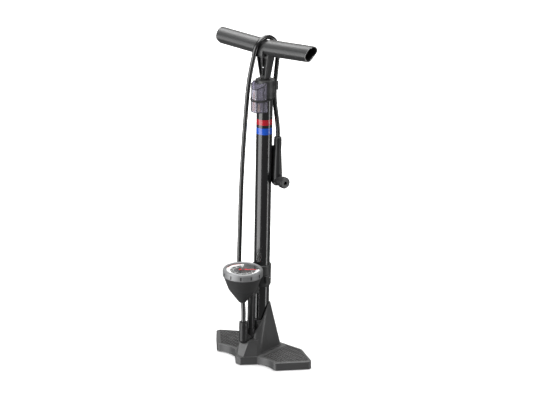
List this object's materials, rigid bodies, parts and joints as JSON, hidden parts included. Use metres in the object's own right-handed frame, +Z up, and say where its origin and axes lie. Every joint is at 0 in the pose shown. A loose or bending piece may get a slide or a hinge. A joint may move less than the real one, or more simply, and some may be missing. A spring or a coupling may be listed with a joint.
{
  "type": "floor bike pump",
  "caption": "Floor-standing bicycle pump with a two-winged foot, upright barrel, T handle, round pressure gauge on an arm, hose with lever head and strapped accessory case.",
  "frame": {"origin": "on the floor, under the barrel's axis", "axes": "+Z up along the barrel, +X along the handle to the right-hand grip, -Y towards the gauge"},
  "size_m": [0.2594, 0.1545, 0.7067],
  "materials": {
    "moulded_plastic": "satin",
    "tread_plastic": "matte",
    "rubber": "matte",
    "barrel_paint": "gloss",
    "steel": "brushed",
    "brass": "machined",
    "dial_print": "satin",
    "needle_red": "satin",
    "clear_glass": "clear",
    "bezel_silver": "satin silver",
    "bush_plastic": "satin",
    "smoke_clear": "smoked clear",
    "orange_plastic": "satin",
    "head_plastic": "satin",
    "hose_rubber": "matte"
  },
  "bodies": {
    "base": {"foot_base": "moulded_plastic", "tread_pad_right": "tread_plastic", "tread_pad_left": "tread_plastic", "rubber_feet": "rubber", "barrel": "barrel_paint", "barrel_plug": "moulded_plastic", "barrel_plug_ring": "rubber", "barrel_plug_screws": "steel", "hose_elbow": "moulded_plastic", "hose_elbow_ring": "rubber", "hose_nipple": "brass", "hose_gland": "moulded_plastic", "check_valve_seat": "brass", "check_valve_spring": "steel", "riser_tube": "barrel_paint", "riser_rings": "rubber", "gauge_bracket": "moulded_plastic", "bracket_clamp": "moulded_plastic", "bracket_screws": "steel", "gauge_housing": "moulded_plastic", "gauge_stem": "brass", "bourdon_tube": "brass", "gauge_movement": "brass", "gauge_dial": "dial_print", "gauge_lens": "clear_glass", "gauge_bezel": "bezel_silver", "barrel_cap": "moulded_plastic", "cap_bush": "bush_plastic", "cap_wiper": "rubber", "hose_clip": "moulded_plastic", "case_cover": "smoke_clear", "case_tray": "moulded_plastic", "case_band": "rubber", "ball_needle": "steel", "brass_adapter": "brass", "tapered_adapter": "orange_plastic", "head_body": "head_plastic", "head_nut": "head_plastic", "head_collar": "head_plastic", "head_grommet": "rubber", "lever_pin": "steel", "hose": "hose_rubber"},
    "handle": {"piston_rod": "steel", "piston_head": "moulded_plastic", "piston_seal": "rubber", "piston_washer": "steel", "piston_screw": "steel", "rod_bumper": "rubber", "handle_bar": "moulded_plastic", "rod_pin": "steel", "handle_cushion": "rubber"},
    "head_lever": {"head_lever": "head_plastic"},
    "head_plunger": {"head_plunger": "bush_plastic"},
    "gauge_needle": {"gauge_needle": "needle_red"},
    "check_valve_poppet": {"check_valve_poppet": "rubber"}
  },
  "joints": [
    {"name": "handle_slide", "type": "slide", "parent": "base", "child": "handle", "axis": [0, 0, 1], "range_m": [0, 0.45], "deforming": ["hose"]},
    {"name": "lever_hinge", "type": "hinge", "parent": "base", "child": "head_lever", "pos_m": [0.01128, 0.0223, 0.396], "axis": [-0.2419, -0.9703, 0], "range_deg": [0, 90]},
    {"name": "plunger_slide", "type": "slide", "parent": "base", "child": "head_plunger", "axis": [0.9703, -0.2419, 0], "range_m": [0, 0.0015], "deforming": ["head_grommet"]},
    {"name": "needle_hinge", "type": "hinge", "parent": "base", "child": "gauge_needle", "pos_m": [0, -0.063, 0.2115], "axis": [0, 0, -1], "range_deg": [0, 270], "stiffness_Nm_per_rad": 0.0005, "springref_deg": -5.73},
    {"name": "check_valve_slide", "type": "slide", "parent": "base", "child": "check_valve_poppet", "axis": [0, -1, 0], "range_m": [0, 0.002], "stiffness_N_per_m": 150, "springref_m": -0.003, "deforming": ["check_valve_spring"]}
  ],
  "couplings": [
    {"joint": "plunger_slide", "follows": "lever_hinge", "m_per_rad": 0.000954}
  ]
}
